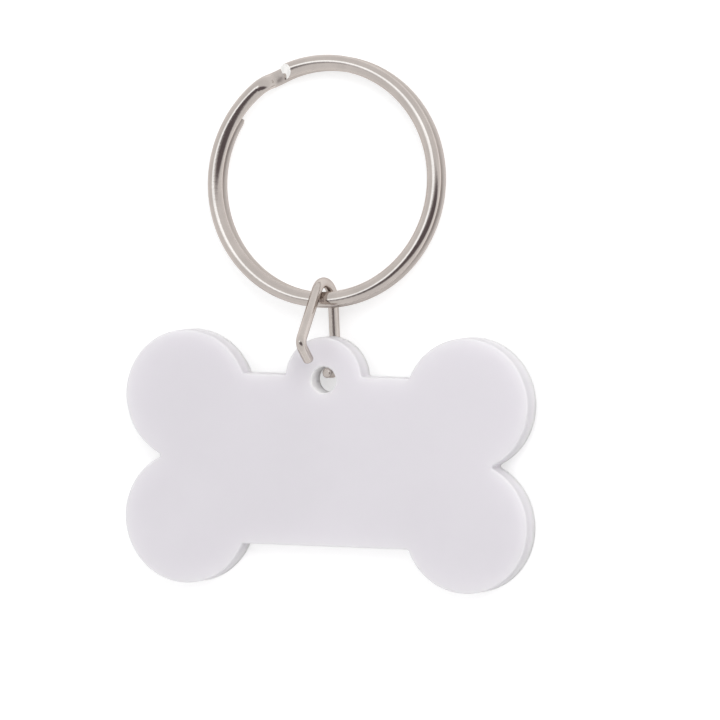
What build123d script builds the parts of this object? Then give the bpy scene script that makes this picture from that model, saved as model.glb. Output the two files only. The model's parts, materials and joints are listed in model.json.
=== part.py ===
from build123d import *
from math import asin, cos, hypot, pi, radians, sin, sqrt, tan
import os

# A bone-shaped pet id tag as it lies on a table: the plate leans on the wire link that passes under its
# lug, and the split ring leans on the same link from the other side. Millimetres and degrees, +Z up,
# table at Z = 0, lug and ring towards +Y.

# Bone plate
lobe_radius = 7.9
lobe_spacing_x = 36.2
lobe_spacing_y = 14.6
waist_height = 20.4
plate_thickness = 3.0
plate_edge_round = 0.2
corner_round = 0.3
lug_radius = 4.9
lug_offset_x = -0.3
lug_height = 9.9
hole_height = 9.7
hole_diameter = 3.2

# Wire link
link_wire = 1.25
link_leg_angle = 36.0
rear_leg = 8.7
front_leg = 7.85
front_tip = 2.9
front_bend = 78.5
bend_inside_radius = 0.35
tip_depth_in_hole = 1.7
link_end_round = 0.25
link_turn = 4.5
link_lean = 7.0

# Split ring
ring_outer_diameter = 30.2
ring_wire_width = 1.85
ring_wire_height = 1.02
ring_wire_roll = 6.0
ring_turn_gap = 0.43
ring_upper_end_angle = 114.0
ring_open_angle = 32.0
ring_jog_angle = 12.5
ring_jog_margin = 2.0
ring_end_bevel = 1.4
ring_end_edge = 0.3
ring_turn = 1.8

# Running clearances
clearance_under_plate = 0.12
clearance_in_hole = 0.24
clearance_in_link = 0.13
clearance_over_table = 0.02

# Worked-out sizes
lobe_reach = lobe_spacing_y / 2 + lobe_radius
rest_edge = lobe_reach - plate_edge_round
tip_offset = (hole_diameter - link_wire) / 2 - clearance_in_hole
rear_tip = link_wire / 2 + clearance_under_plate + tip_depth_in_hole
link_bend_radius = bend_inside_radius + link_wire / 2
plate_tilt = asin((link_wire + clearance_under_plate) / (rest_edge + hole_height + tip_offset))

ring_radius = (ring_outer_diameter - ring_wire_width) / 2
ring_pitch = ring_wire_height + ring_turn_gap
ring_height = ring_pitch + ring_wire_height
ring_lower_end_angle = ring_upper_end_angle + ring_open_angle
wire_roll = radians(ring_wire_roll)


def section_reach(angle):
    """How far the outline of the two stacked turns stands from their common middle."""
    width = ring_wire_width / 2 * cos(angle)
    height = ring_wire_height / 2 * sin(angle)
    side = width * cos(wire_roll) - height * sin(wire_roll)
    return hypot(side, ring_pitch / 2 + width * sin(wire_roll) + height * cos(wire_roll))


ring_swing_radius = max(section_reach(radians(angle)) for angle in range(180))
apex_radius = ring_swing_radius + clearance_in_link + link_wire / 2
apex_height = link_wire / 2 + apex_radius * cos(radians(link_lean))
ring_tilt = asin((apex_height - ring_height / 2 - clearance_over_table) / (2 * ring_radius))


def moved(plane, x, y, z):
    """The same plane with its origin at a point given in its own directions."""
    return Plane(plane.from_local_coords(Vector(x, y, z)), x_dir=plane.x_dir, z_dir=plane.z_dir)


def lay_out(rest_y):
    """Planes of the plate's back, the link and the ring, with the plate's resting edge at rest_y."""
    rest_line = Plane((0, rest_y, plate_edge_round), x_dir=(1, 0, 0), z_dir=(0, -sin(plate_tilt), cos(plate_tilt)))
    plate = moved(rest_line, 0, rest_edge, -plate_edge_round)

    turn = radians(link_turn)
    lean = radians(link_lean)
    hole = plate.from_local_coords(Vector(lug_offset_x, hole_height, 0))
    corner = Vector(hole.X + rear_tip / 2 * sin(lean), hole.Y + tip_offset, link_wire / 2)
    across = (cos(turn) * cos(lean), sin(turn) * cos(lean), sin(lean))
    link = Plane(corner, x_dir=(-sin(turn), cos(turn), 0), z_dir=across)

    turn = radians(ring_turn)
    near = link.from_local_coords(Vector(rear_leg, apex_radius, 0))
    axis = (-sin(turn) * sin(ring_tilt), cos(turn) * sin(ring_tilt), cos(ring_tilt))
    ring = Plane(near, x_dir=(cos(turn), sin(turn), 0), z_dir=axis)
    return plate, link, moved(ring, 0, ring_radius, 0)


def ring_reach(axis):
    """How far the ring stands out along +Y from its middle."""
    flat = sqrt(1 - axis.Y**2)
    width = ring_wire_width / 2 * (flat * cos(wire_roll) + axis.Y * sin(wire_roll))
    height = ring_wire_height / 2 * (axis.Y * cos(wire_roll) - flat * sin(wire_roll))
    return ring_radius * flat + hypot(width, height) + ring_pitch / 2 * axis.Y


# The origin is on the table under the middle of the whole tag
trial_ring = lay_out(0)[2]
far_y = trial_ring.origin.Y + ring_reach(trial_ring.z_dir)
near_y = -plate_edge_round - (plate_thickness - 2 * plate_edge_round) * sin(plate_tilt)
plate_plane, link_plane, ring_plane = lay_out(-(far_y + near_y) / 2)

# Bone plate with its lug and hole
with BuildPart() as tag_plate:
    with BuildSketch(plate_plane) as bone:
        Rectangle(lobe_spacing_x, waist_height)
        with GridLocations(lobe_spacing_x, lobe_spacing_y, 2, 2):
            Circle(lobe_radius)
        with Locations((lug_offset_x, lug_height)):
            Circle(lug_radius)
        fillet(bone.vertices(), corner_round)
        with Locations((lug_offset_x, hole_height)):
            Circle(hole_diameter / 2, mode=Mode.SUBTRACT)
    extrude(amount=plate_thickness)
    flat_faces = tag_plate.faces().filter_by(plate_plane)
    fillet(flat_faces.edges(), plate_edge_round)
tag_plate.part.label = "tag_plate"

# Wire link: tip in the hole, rear leg on the table, round top, front leg, tip over the front face
leg_angle = radians(link_leg_angle)
tip_angle = radians(front_bend) - leg_angle
apex_run = apex_radius / tan(leg_angle / 2)
apex_x = rear_leg + apex_run
front_x = apex_x - (apex_run + front_leg) * cos(leg_angle)
front_y = (apex_run + front_leg) * sin(leg_angle)
link_points = [
    (0, rear_tip),
    (0, 0),
    (apex_x, 0),
    (front_x, front_y),
    (front_x - front_tip * cos(tip_angle), front_y - front_tip * sin(tip_angle)),
]
with BuildPart() as wire_link:
    with BuildLine(link_plane) as link_path:
        FilletPolyline(*link_points, radius=[link_bend_radius, apex_radius, link_bend_radius])
    link_line = link_path.wires()[0]
    with BuildSketch(Plane(link_line @ 0, z_dir=link_line % 0)):
        Circle(link_wire / 2)
    sweep(path=link_line)
    fillet(wire_link.faces().filter_by(GeomType.PLANE).edges(), link_end_round)
wire_link.part.label = "wire_link"


def on_ring(angle, level):
    """A point of the ring's middle line and the direction there, going round clockwise."""
    place = Vector(ring_radius * cos(radians(angle)), ring_radius * sin(radians(angle)), level)
    return place, Vector(sin(radians(angle)), -cos(radians(angle)), 0)


# Split ring: an upper turn that runs on past the lower end, a jog down under the upper end, a lower turn
upper = ring_pitch / 2
jog_end = ring_upper_end_angle + ring_jog_margin
jog_start = jog_end + ring_jog_angle
upper_angle = 360 + ring_upper_end_angle - jog_start
lower_angle = 360 + jog_end - ring_lower_end_angle
start, start_way = on_ring(jog_start, upper)
end, end_way = on_ring(jog_end, -upper)
chord = end - start
ways = start_way + end_way
spread = 2 * (1 - start_way.dot(end_way))
reach = (sqrt(chord.dot(ways) ** 2 + spread * chord.dot(chord)) - chord.dot(ways)) / spread
middle = (start + end + (start_way - end_way) * reach) * 0.5
with BuildPart() as split_ring:
    with BuildLine(ring_plane):
        upper_half = CenterArc((0, 0, upper), ring_radius, ring_upper_end_angle, -upper_angle / 2)
        upper_rest = CenterArc((0, 0, upper), ring_radius, jog_start + upper_angle / 2, -upper_angle / 2)
        jog_half = TangentArc(upper_rest @ 1, tuple(middle), tangent=upper_rest % 1)
        jog_rest = TangentArc(tuple(middle), tuple(end), tangent=jog_half % 1)
        lower_half = CenterArc((0, 0, -upper), ring_radius, jog_end, -lower_angle / 2)
        lower_rest = CenterArc((0, 0, -upper), ring_radius, jog_end - lower_angle / 2, -lower_angle / 2)
    ring_line = Wire([upper_half, upper_rest, jog_half, jog_rest, lower_half, lower_rest])
    outward = (upper_half @ 0) - ring_plane.from_local_coords(Vector(0, 0, upper))
    upper_end = Plane(upper_half @ 0, x_dir=upper_half % 0, z_dir=(upper_half % 0).cross(ring_plane.z_dir))
    lower_end = Plane(lower_rest @ 1, x_dir=-(lower_rest % 1), z_dir=(lower_rest % 1).cross(ring_plane.z_dir))
    with BuildSketch(Plane(upper_half @ 0, x_dir=outward, z_dir=upper_half % 0)):
        Ellipse(ring_wire_width / 2, ring_wire_height / 2, rotation=ring_wire_roll)
    sweep(path=ring_line)
    for end_plane in (upper_end, lower_end):
        with BuildSketch(end_plane):
            with BuildLine():
                Polyline(
                    (-ring_wire_height, ring_end_edge - ring_wire_height / 2),
                    (0, ring_end_edge - ring_wire_height / 2),
                    (ring_end_bevel, ring_wire_height / 2),
                    (ring_end_bevel, ring_wire_height),
                    (-ring_wire_height, ring_wire_height),
                    close=True,
                )
            make_face()
        extrude(amount=ring_wire_width, both=True, mode=Mode.SUBTRACT)
split_ring.part.label = "split_ring"

os.makedirs("parts", exist_ok=True)
export_step(tag_plate.part, "parts/tag_plate.step")
export_step(wire_link.part, "parts/wire_link.step")
export_step(split_ring.part, "parts/split_ring.step")


def wire_row(place, way, side):
    """Points around the ring's oval wire at a place on its middle line, and which way its width lies there."""
    side = (side - way * side.dot(way)).normalized()
    up = way.cross(side)
    angles = [2 * pi * step / points_around for step in range(points_around)]
    return [place + side * (ring_wire_width / 2 * cos(a)) + up * (ring_wire_height / 2 * sin(a)) for a in angles], side


# Least gap of the ring's wire to itself, between points in rows that lie over each other a turn apart
points_around = 12
rows_in_turn = 150
rows_beside = 3
turn_length = ring_radius * radians(360 - jog_start + jog_end) + jog_half.length + jog_rest.length
rows = []
side = outward.normalized() * cos(wire_roll) + ring_plane.z_dir * sin(wire_roll)
for step in range(int(rows_in_turn * ring_line.length / turn_length) + 1):
    along = step * turn_length / rows_in_turn
    place = ring_line.position_at(along, PositionMode.LENGTH)
    row, side = wire_row(place, ring_line.tangent_at(along, PositionMode.LENGTH), side)
    rows.append(row)
gaps = []
for step in range(rows_in_turn - rows_beside, len(rows)):
    first = max(step - rows_in_turn - rows_beside, 0)
    for other in rows[first : step - rows_in_turn + rows_beside + 1]:
        gaps.append(min((one - two).length for one in rows[step] for two in other))
wire_volume = pi * ring_wire_width * ring_wire_height / 4 * ring_line.length
print(f"least gap of the ring's wire to itself {min(gaps):.3f} mm")
print(f"ring volume {split_ring.part.volume:.2f} mm3, section times length {wire_volume:.2f} mm3")
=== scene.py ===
import json
from math import cos, radians, sin

import bpy
from mathutils import Matrix, Vector


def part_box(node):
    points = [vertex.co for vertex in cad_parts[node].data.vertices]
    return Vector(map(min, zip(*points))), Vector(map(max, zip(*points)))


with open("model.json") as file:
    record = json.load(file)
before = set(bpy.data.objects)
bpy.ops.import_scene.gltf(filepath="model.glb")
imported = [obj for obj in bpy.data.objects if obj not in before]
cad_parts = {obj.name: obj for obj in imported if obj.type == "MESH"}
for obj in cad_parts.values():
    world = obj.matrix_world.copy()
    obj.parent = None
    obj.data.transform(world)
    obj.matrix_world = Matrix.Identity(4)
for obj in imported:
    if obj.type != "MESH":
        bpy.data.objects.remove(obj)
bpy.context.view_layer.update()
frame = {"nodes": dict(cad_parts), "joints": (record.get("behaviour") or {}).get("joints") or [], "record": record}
joints = {joint["name"]: joint for joint in frame["joints"]}
mounts = {mount["name"]: mount for mount in frame["record"]["mounts"]}

# Lengths are in metres and colours are linear

# Camera: far above the tag, leaning over to its right side
aim_point = Vector((0.00344, -0.00448, 0.002))
camera_distance = 1.4313
view_lean = radians(22.74)
view_lean_way = radians(1.98)
picture_turn = radians(1.69)
lens_mm = 600.0
sensor_mm = 36.0

# Light tent: radiance by direction, with a bright panel and the dark gap that the camera looks through.
# A patch is an oval seen from above: its middle, the turn of its length in degrees, half its length,
# half its width and the softness of its rim
tent_side = 1.0
tent_top = 0.88
tent_side_height = 0.1
tent_top_height = 0.7
horizon_blend = 0.1
panel_colour = (1.75, 1.86, 1.92)
panel_patch = ((-0.33, 0.14), 20, 0.2, 0.1, 0.4)
gap_colour = (0.15, 0.127, 0.135)
gap_patch = ((0.3, -0.12), -8, 0.46, 0.26, 0.3)
gap_tail_patch = ((-0.12, -0.12), -25, 0.3, 0.15, 0.35)

# Key lamp
lamp_place = Vector((0.4, 0.42, 0.7))
lamp_size = 0.6
lamp_watts = 2.8

# Floor, just under the table's height
floor_reach = 1.0
floor_drop = 0.00002
floor_grey = 0.6
floor_fill = 0.56

# Noise values nearly all lie between these
noise_low = 0.3
noise_high = 0.7

# Opal plastic: its faces; its cut edge from front to back, with painted shade at the front and painted light
# towards the back,
# # against the glow at its front rim and the shade near the floor; and the wall of its hole, with painted light
# against the shade inside it.
# A surface counts as cut by how little it faces the way that the plate faces
plastic_colour = (0.745, 0.722, 0.757)
plastic_dark_tone = 0.985
plastic_light_tone = 1.012
front_edge_painted_shade = (0.68, 0.66, 0.69)
back_edge_painted_light = (0.98, 0.95, 0.99)
sheet_thickness = 0.003
bore_painted_light = (1.0, 0.98, 1.0)
bore_reach = 0.0022
bore_blend = 0.8
uncut_facing = 0.75
cut_facing = 0.35
plastic_cloud_scale = 70.0
plastic_grain_scale = 2500.0
grain_depth = 0.0000015
satin_low = 0.30
satin_high = 0.40
cut_roughness = 0.2
plastic_ior = 1.49
glow_depth = 0.003
stroke_scales = (6000.0, 6000.0, 250.0)
stroke_depth = 0.000012

# Nickel plating
nickel_colour = (0.58, 0.526, 0.492)
nickel_dark_tone = 0.96
nickel_light_tone = 1.04
nickel_rim_tint = (0.6, 0.55, 0.52)
nickel_cloud_scale = 400.0
nickel_speck_scale = 6000.0
nickel_gloss_spread = 0.2
line_scale = 9000.0

# Link: how its flat shape is turned about the vertical and leans over, and its finish
link_turn = radians(4.5)
link_lean = radians(7.0)
link_roughness = 0.16
link_speck_depth = 0.000002
link_line_depth = 0.000003

# Split ring: its finish, and its lower turn, which begins halfway between the turns, is duller and has a little
# painted shade, as under the upper turn
ring_roughness = 0.11
ring_speck_depth = 0.0000025
ring_line_depth = 0.0000015
turn_blend = 0.0002
lower_turn_dull = 0.3
lower_turn_painted_shade = 0.97

# Split ring's upper wire end: its angle round the ring from the ring's own X direction, its distance in
# # from the ring's rim, its height over the ring's middle, and its sheared face, whose nearly white colour is a
# painted highlight
upper_end_angle = radians(114)
upper_end_inset = 0.0009
upper_end_level = 0.0007
wire_end_reach = 0.0022
wire_end_blend = 0.9
unsheared_facing = 0.2
sheared_facing = 0.35
shear_painted_highlight = (0.95, 0.94, 0.92)
shear_scale = 1100.0
shear_depth = 0.0004
shear_roughness = 0.12


class Nodes:
    """Short ways to add shader nodes to one tree."""

    def __init__(self, tree):
        self.tree = tree

    def add(self, kind, **settings):
        node = self.tree.nodes.new(kind)
        for name, value in settings.items():
            setattr(node, name, value)
        return node

    def put(self, socket, value):
        """Links a socket to another node's output, or sets it to a fixed value."""
        if isinstance(value, bpy.types.NodeSocket):
            self.tree.links.new(value, socket)
        else:
            socket.default_value = value

    def fed(self, node, *values):
        """Puts values into a node's inputs in order, and gives its outputs."""
        for socket, value in zip(node.inputs, values):
            self.put(socket, value)
        return node.outputs

    def math(self, operation, *values):
        return self.fed(self.add("ShaderNodeMath", operation=operation), *values)["Value"]

    def vector(self, operation, *values):
        outputs = self.fed(self.add("ShaderNodeVectorMath", operation=operation), *values)
        return outputs["Value" if operation in ("DOT_PRODUCT", "LENGTH", "DISTANCE") else "Vector"]

    def together(self, *values):
        return self.fed(self.add("ShaderNodeCombineXYZ"), *values)["Vector"]

    def ramp(self, value, start, end, low=0.0, high=1.0):
        """A smooth step from low at start to high at end."""
        node = self.add("ShaderNodeMapRange", interpolation_type="SMOOTHSTEP")
        return self.fed(node, value, start, end, low, high)["Result"]

    def mix(self, amount, first, second):
        """A colour mixed from two. The node's colour sockets share their names, so they go by number."""
        node = self.add("ShaderNodeMix", data_type="RGBA")
        self.put(node.inputs["Factor"], amount)
        self.put(node.inputs[6], first)
        self.put(node.inputs[7], second)
        return node.outputs[2]

    def noise(self, place, scale, detail):
        node = self.add("ShaderNodeTexNoise")
        self.put(node.inputs["Vector"], place)
        self.put(node.inputs["Scale"], scale)
        self.put(node.inputs["Detail"], detail)
        return node.outputs["Fac"]

    def spread(self, noise, low=0.0, high=1.0):
        """Noise stretched to run from low to high."""
        return self.ramp(noise, noise_low, noise_high, low, high)

    def bump(self, height, depth, below=None):
        node = self.add("ShaderNodeBump")
        self.put(node.inputs["Height"], height)
        self.put(node.inputs["Distance"], depth)
        if below is not None:
            self.put(node.inputs["Normal"], below)
        return node.outputs["Normal"]


class Finish(Nodes):
    """A piece's material, with the place and the normal on the piece."""

    def __init__(self, name):
        self.material = bpy.data.materials.new(name)
        self.material.use_nodes = True
        super().__init__(self.material.node_tree)
        surface = self.add("ShaderNodeTexCoord").outputs
        self.place = surface["Object"]
        self.normal = surface["Normal"]

    def give(self, name, value):
        """Sets one input of the main shader."""
        self.put(self.tree.nodes["Principled BSDF"].inputs[name], value)


def shade(colour, level=1.0):
    return (colour[0] * level, colour[1] * level, colour[2] * level, 1.0)


def grey(level):
    return (level, level, level, 1.0)


def tent_patch(nodes, direction, middle, along, half_length, half_width, softness):
    """How far a direction lies inside an oval patch of the tent, seen from above: 1 inside, 0 outside."""
    way = Vector((cos(radians(along)), sin(radians(along)), 0))
    beside = Vector((-way.y, way.x, 0))
    offset = nodes.vector("SUBTRACT", direction, (*middle, 0))
    reach = nodes.vector("LENGTH", nodes.together(
        nodes.vector("DOT_PRODUCT", offset, way / half_length),
        nodes.vector("DOT_PRODUCT", offset, beside / half_width),
    ))
    height = nodes.vector("DOT_PRODUCT", direction, (0, 0, 1))
    above = nodes.ramp(height, -horizon_blend, horizon_blend)
    return nodes.math("MULTIPLY", nodes.ramp(reach, 1 + softness, 1 - softness), above)


def make_tent():
    world = bpy.data.worlds.new("light_tent")
    bpy.context.scene.world = world
    world.use_nodes = True
    world.node_tree.nodes.clear()
    nodes = Nodes(world.node_tree)
    direction = nodes.add("ShaderNodeTexCoord").outputs["Generated"]
    height = nodes.vector("DOT_PRODUCT", direction, (0, 0, 1))
    topward = nodes.ramp(height, tent_side_height, tent_top_height)
    colour = nodes.mix(topward, grey(tent_side), grey(tent_top))
    colour = nodes.mix(tent_patch(nodes, direction, *panel_patch), colour, shade(panel_colour))
    gap = tent_patch(nodes, direction, *gap_patch)
    gap_tail = tent_patch(nodes, direction, *gap_tail_patch)
    colour = nodes.mix(nodes.math("MAXIMUM", gap, gap_tail), colour, shade(gap_colour))
    tent = nodes.add("ShaderNodeBackground")
    nodes.put(tent.inputs["Color"], colour)
    output = nodes.add("ShaderNodeOutputWorld")
    nodes.put(output.inputs["Surface"], tent.outputs["Background"])


def make_lamp():
    """A soft key light above the upper right, which puts the shadow at the lower left."""
    light = bpy.data.lights.new("key_light", "AREA")
    light.shape = "DISK"
    light.size = lamp_size
    light.energy = lamp_watts
    lamp = bpy.data.objects.new("key_light", light)
    bpy.context.scene.collection.objects.link(lamp)
    lamp.location = lamp_place
    lamp.rotation_euler = (aim_point - lamp_place).to_track_quat("-Z", "Y").to_euler()
    lamp.visible_glossy = False


def make_floor():
    """A matte floor that takes the shadow, filled up to white where it is seen."""
    material = bpy.data.materials.new("pale_floor")
    material.use_nodes = True
    material.node_tree.nodes.clear()
    nodes = Nodes(material.node_tree)
    matte = nodes.add("ShaderNodeBsdfDiffuse")
    nodes.put(matte.inputs["Color"], grey(floor_grey))
    path = nodes.add("ShaderNodeLightPath").outputs
    shown = nodes.math("MAXIMUM", path["Is Camera Ray"], path["Is Glossy Ray"])
    shown = nodes.math("MAXIMUM", shown, path["Is Transmission Ray"])
    fill = nodes.add("ShaderNodeEmission")
    nodes.put(fill.inputs["Strength"], nodes.math("MULTIPLY", shown, floor_fill))
    both = nodes.add("ShaderNodeAddShader")
    nodes.put(both.inputs[0], matte.outputs["BSDF"])
    nodes.put(both.inputs[1], fill.outputs["Emission"])
    output = nodes.add("ShaderNodeOutputMaterial")
    nodes.put(output.inputs["Surface"], both.outputs["Shader"])
    signs = ((-1, -1), (1, -1), (1, 1), (-1, 1))
    corners = [(x * floor_reach, y * floor_reach, -floor_drop) for x, y in signs]
    mesh = bpy.data.meshes.new("floor")
    mesh.from_pydata(corners, [], [(0, 1, 2, 3)])
    mesh.materials.append(material)
    floor = bpy.data.objects.new("floor", mesh)
    bpy.context.scene.collection.objects.link(floor)


def make_camera():
    camera = bpy.data.cameras.new("camera")
    camera.lens = lens_mm
    camera.sensor_width = sensor_mm
    camera.clip_end = 4 * camera_distance
    placed = bpy.data.objects.new("camera", camera)
    bpy.context.scene.collection.objects.link(placed)
    lean_way = Vector((cos(view_lean_way), sin(view_lean_way), 0))
    back = lean_way * sin(view_lean) + Vector((0, 0, 1)) * cos(view_lean)
    right = Vector((-sin(picture_turn), cos(picture_turn), 0)).cross(back).normalized()
    turn = Matrix((right, back.cross(right), back)).transposed().to_4x4()
    placed.matrix_world = Matrix.Translation(aim_point + back * camera_distance) @ turn
    bpy.context.scene.camera = placed


def opal_plastic():
    """Opal sheet that glows a little through its thickness, satin on its faces and frosted where cut, with painted
    shade and light on its cut edge and painted light on the wall of its hole.
    """
    finish = Finish("opal_plastic")
    place = finish.place
    face_way = Vector(joints["link_swing"]["axis"])
    hole = Vector(joints["link_swing"]["pos_m"])
    front = Vector(mounts["front_face"]["pos_m"])
    facing = finish.math("ABSOLUTE", finish.vector("DOT_PRODUCT", finish.normal, face_way))
    cut = finish.ramp(facing, uncut_facing, cut_facing)

    cloud = finish.spread(finish.noise(place, plastic_cloud_scale, 3.0))
    dark_tone = shade(plastic_colour, plastic_dark_tone)
    light_tone = shade(plastic_colour, plastic_light_tone)
    face_tone = finish.mix(cloud, dark_tone, light_tone)
    # Painted light and shade on the cut edge: darker at the front and lighter towards the back, against the glow
    # at its front rim and the shade near the floor
    depth = finish.vector("DOT_PRODUCT", finish.vector("SUBTRACT", place, front), -face_way)
    deep = finish.ramp(depth, 0.0, sheet_thickness)
    painted_edge_tone = finish.mix(deep, shade(front_edge_painted_shade), shade(back_edge_painted_light))
    # Painted light on the wall of the hole: nearly white, against the shade inside it
    hole_offset = finish.vector("SUBTRACT", place, hole)
    hole_reach = finish.vector("LENGTH", finish.vector("CROSS_PRODUCT", hole_offset, face_way))
    bored = finish.ramp(hole_reach, bore_reach, bore_reach * bore_blend)
    painted_edge_tone = finish.mix(bored, painted_edge_tone, shade(bore_painted_light))
    finish.give("Base Color", finish.mix(cut, face_tone, painted_edge_tone))

    grain = finish.noise(place, plastic_grain_scale, 2.0)
    satin = finish.spread(grain, satin_low, satin_high)
    finish.give("Roughness", finish.math("MULTIPLY_ADD", cut, cut_roughness, satin))
    finish.give("IOR", plastic_ior)
    finish.give("Subsurface Weight", 1.0)
    finish.give("Subsurface Radius", (1.0, 1.0, 1.0))
    finish.give("Subsurface Scale", glow_depth)

    stroke = finish.noise(finish.vector("MULTIPLY", place, stroke_scales), 1.0, 1.0)
    skin = finish.bump(grain, grain_depth)
    finish.give("Normal", finish.bump(finish.math("MULTIPLY", stroke, cut), stroke_depth, skin))
    return finish.material


def nickel(name, roughness):
    """Nickel-plated wire: its finish, a colour and a roughness that are a little uneven, and its specks."""
    finish = Finish(name)
    finish.give("Metallic", 1.0)
    finish.give("Specular Tint", shade(nickel_rim_tint))
    cloud = finish.spread(finish.noise(finish.place, nickel_cloud_scale, 3.0))
    dark_tone = shade(nickel_colour, nickel_dark_tone)
    light_tone = shade(nickel_colour, nickel_light_tone)
    colour = finish.mix(cloud, dark_tone, light_tone)
    speck = finish.noise(finish.place, nickel_speck_scale, 2.0)
    least = roughness * (1 - nickel_gloss_spread)
    most = roughness * (1 + nickel_gloss_spread)
    return finish, colour, finish.spread(speck, least, most), speck


def link_nickel():
    """Round wire with drawing lines that follow its bends."""
    finish, colour, gloss, speck = nickel("link_nickel", link_roughness)
    finish.give("Base Color", colour)
    finish.give("Roughness", gloss)
    flat_way = Vector((cos(link_turn), sin(link_turn), 0))
    across = flat_way * cos(link_lean) + Vector((0, 0, 1)) * sin(link_lean)
    side = finish.vector("DOT_PRODUCT", finish.place, across)
    lines = finish.noise(finish.together(side, 0.0, 0.0), line_scale, 1.0)
    skin = finish.bump(speck, link_speck_depth)
    finish.give("Normal", finish.bump(lines, link_line_depth, skin))
    return finish.material


def ring_nickel():
    """Wire with drawing lines along it, duller and with a little painted shade on the lower turn, and sheared at
    the upper end, where the cut face has a painted highlight.
    """
    finish, colour, gloss, speck = nickel("ring_nickel", ring_roughness)
    middle = Vector(mounts["collar_loop"]["pos_m"])
    axis = Vector(mounts["collar_loop"]["axis"])
    across = Vector(joints["ring_swing"]["axis"])
    onward = axis.cross(across)
    offset = finish.vector("SUBTRACT", finish.place, middle)
    level = finish.vector("DOT_PRODUCT", offset, axis)
    reach = finish.vector("LENGTH", finish.vector("CROSS_PRODUCT", offset, axis))
    lines = finish.noise(finish.together(reach, level, 0.0), line_scale, 1.0)
    drawn = finish.bump(lines, ring_line_depth, finish.bump(speck, ring_speck_depth))
    lower = finish.ramp(level, turn_blend, -turn_blend)
    # Painted shade: the lower turn, under the upper one, is a little darker
    colour = finish.mix(lower, colour, shade(nickel_colour, lower_turn_painted_shade))
    gloss = finish.math("MULTIPLY_ADD", lower, lower_turn_dull, gloss)

    low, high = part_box("split_ring")
    ring_reach = (high.x - low.x) / 2
    end_way = across * cos(upper_end_angle) + onward * sin(upper_end_angle)
    wire_way = onward * cos(upper_end_angle) - across * sin(upper_end_angle)
    end_place = middle + end_way * (ring_reach - upper_end_inset) + axis * upper_end_level
    distance = finish.vector("DISTANCE", finish.place, end_place)
    near = finish.ramp(distance, wire_end_reach, wire_end_reach * wire_end_blend)
    facing = finish.vector("DOT_PRODUCT", finish.normal, wire_way)
    sheared = finish.math("MULTIPLY", near, finish.ramp(facing, unsheared_facing, sheared_facing))
    shear = finish.math("MULTIPLY", finish.noise(finish.place, shear_scale, 0.0), sheared)
    # The sheared face has a painted highlight: its colour is nearly white
    finish.give("Base Color", finish.mix(sheared, colour, shade(shear_painted_highlight)))
    finish.give("Roughness", finish.math("MULTIPLY_ADD", sheared, shear_roughness, gloss))
    finish.give("Normal", finish.bump(shear, shear_depth, drawn))
    return finish.material


def dress(node, material):
    """Gives a node its finish."""
    mesh = frame["nodes"][node].data
    mesh.materials.clear()
    mesh.materials.append(material)


bpy.context.scene.view_settings.view_transform = "Standard"
make_camera()
make_tent()
make_lamp()
make_floor()
dress("tag_plate", opal_plastic())
dress("wire_link", link_nickel())
dress("split_ring", ring_nickel())
